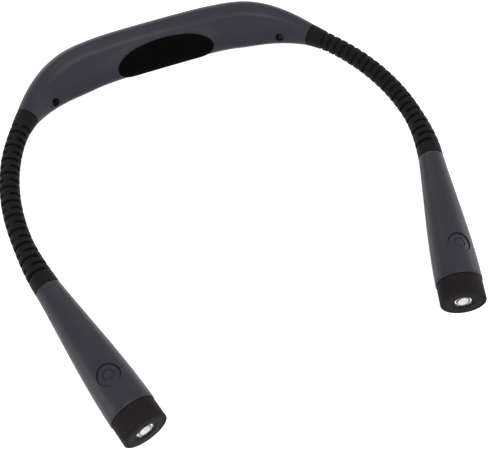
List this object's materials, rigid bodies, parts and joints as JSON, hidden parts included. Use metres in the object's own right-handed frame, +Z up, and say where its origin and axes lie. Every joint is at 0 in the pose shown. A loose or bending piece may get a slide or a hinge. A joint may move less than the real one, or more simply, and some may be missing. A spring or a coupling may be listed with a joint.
{
  "type": "neck reading light",
  "caption": "Neck-worn reading light: a padded collar band with a bendable arm and a tapered lamp head on each side.",
  "frame": {"origin": "middle of the underside of the overall box, on the surface that the light lies on", "axes": "+Z up from that surface, -Y from the band towards the lamp heads, +X to the right arm"},
  "size_m": [0.245, 0.249, 0.0306],
  "materials": {
    "shell": "soft-touch slate gray, fine matte",
    "button": "soft-touch slate gray, fine matte",
    "sleeve": "black silicone rubber, matte",
    "gooseneck": "bare steel strip",
    "pad": "black moulded silicone rubber, matte",
    "screw": "dark steel",
    "cap": "black, fine matte",
    "lens": "clear, polished",
    "reflector": "bright metallised",
    "led": "white and pale yellow",
    "board": "green solder mask",
    "switch": "black",
    "cell": "foil pouch",
    "socket": "formed steel"
  },
  "bodies": {
    "collar": {"band_back_shell": "shell", "band_face_shell": "shell", "battery_cell": "cell", "charge_board": "board", "charging_socket": "socket", "neck_pad": "pad", "shell_screw_left": "screw", "shell_screw_right": "screw", "left_sleeve_1": "sleeve", "left_core_1": "gooseneck", "right_sleeve_1": "sleeve", "right_core_1": "gooseneck"},
    "left_link_2": {"left_sleeve_2": "sleeve", "left_core_2": "gooseneck"},
    "left_link_3": {"left_sleeve_3": "sleeve", "left_core_3": "gooseneck"},
    "left_link_4": {"left_sleeve_4": "sleeve", "left_core_4": "gooseneck"},
    "left_link_5": {"left_sleeve_5": "sleeve", "left_core_5": "gooseneck"},
    "left_link_6": {"left_sleeve_6": "sleeve", "left_core_6": "gooseneck"},
    "left_link_7": {"left_sleeve_7": "sleeve", "left_core_7": "gooseneck", "left_head_upper_shell": "shell", "left_head_lower_shell": "shell", "left_end_cap": "cap", "left_lens": "lens", "left_reflector": "reflector", "left_led_chip": "led", "left_led_board": "board", "left_switch_board": "board", "left_switch": "switch"},
    "left_button": {"left_button": "button"},
    "right_link_2": {"right_sleeve_2": "sleeve", "right_core_2": "gooseneck"},
    "right_link_3": {"right_sleeve_3": "sleeve", "right_core_3": "gooseneck"},
    "right_link_4": {"right_sleeve_4": "sleeve", "right_core_4": "gooseneck"},
    "right_link_5": {"right_sleeve_5": "sleeve", "right_core_5": "gooseneck"},
    "right_link_6": {"right_sleeve_6": "sleeve", "right_core_6": "gooseneck"},
    "right_link_7": {"right_sleeve_7": "sleeve", "right_core_7": "gooseneck", "right_head_upper_shell": "shell", "right_head_lower_shell": "shell", "right_end_cap": "cap", "right_lens": "lens", "right_reflector": "reflector", "right_led_chip": "led", "right_led_board": "board", "right_switch_board": "board", "right_switch": "switch"},
    "right_button": {"right_button": "button"}
  },
  "joints": [
    {"name": "left_bend_1", "type": "hinge", "parent": "collar", "child": "left_link_2", "pos_m": [-0.10459, 0.07084, 0.0119], "axis": [0, 0, 1], "range_deg": [-25, 25]},
    {"name": "left_bend_2", "type": "hinge", "parent": "left_link_2", "child": "left_link_3", "pos_m": [-0.11196, 0.0522, 0.0119], "axis": [-0.9596, 0.2813, 0], "range_deg": [-25, 25]},
    {"name": "left_bend_3", "type": "hinge", "parent": "left_link_3", "child": "left_link_4", "pos_m": [-0.11597, 0.03255, 0.0119], "axis": [0, 0, 1], "range_deg": [-25, 25]},
    {"name": "left_bend_4", "type": "hinge", "parent": "left_link_4", "child": "left_link_5", "pos_m": [-0.11692, 0.01251, 0.0119], "axis": [-0.9998, -0.0222, 0], "range_deg": [-25, 25]},
    {"name": "left_bend_5", "type": "hinge", "parent": "left_link_5", "child": "left_link_6", "pos_m": [-0.11522, -0.00754, 0.0119], "axis": [0, 0, 1], "range_deg": [-25, 25]},
    {"name": "left_bend_6", "type": "hinge", "parent": "left_link_6", "child": "left_link_7", "pos_m": [-0.11129, -0.02747, 0.0119], "axis": [-0.9708, -0.24, 0], "range_deg": [-25, 25]},
    {"name": "left_button_press", "type": "slide", "parent": "left_link_7", "child": "left_button", "axis": [0.0253, 0.0069, -0.9997], "range_m": [0, 0.0005], "stiffness_N_per_m": 1500, "springref_m": -0.0003},
    {"name": "right_bend_1", "type": "hinge", "parent": "collar", "child": "right_link_2", "pos_m": [0.09977, 0.07113, 0.0119], "axis": [0, 0, 1], "range_deg": [-25, 25]},
    {"name": "right_bend_2", "type": "hinge", "parent": "right_link_2", "child": "right_link_3", "pos_m": [0.10845, 0.05305, 0.0119], "axis": [-0.9323, -0.3616, 0], "range_deg": [-25, 25]},
    {"name": "right_bend_3", "type": "hinge", "parent": "right_link_3", "child": "right_link_4", "pos_m": [0.11421, 0.03383, 0.0119], "axis": [0, 0, 1], "range_deg": [-25, 25]},
    {"name": "right_bend_4", "type": "hinge", "parent": "right_link_4", "child": "right_link_5", "pos_m": [0.11682, 0.01394, 0.0119], "axis": [-0.9988, -0.0488, 0], "range_deg": [-25, 25]},
    {"name": "right_bend_5", "type": "hinge", "parent": "right_link_5", "child": "right_link_6", "pos_m": [0.11613, -0.00615, 0.0119], "axis": [0, 0, 1], "range_deg": [-25, 25]},
    {"name": "right_bend_6", "type": "hinge", "parent": "right_link_6", "child": "right_link_7", "pos_m": [0.11204, -0.02603, 0.0119], "axis": [-0.9585, 0.2852, 0], "range_deg": [-25, 25]},
    {"name": "right_button_press", "type": "slide", "parent": "right_link_7", "child": "right_button", "axis": [-0.1313, 0.0461, -0.9903], "range_m": [0, 0.0005], "stiffness_N_per_m": 1500, "springref_m": -0.0003}
  ]
}
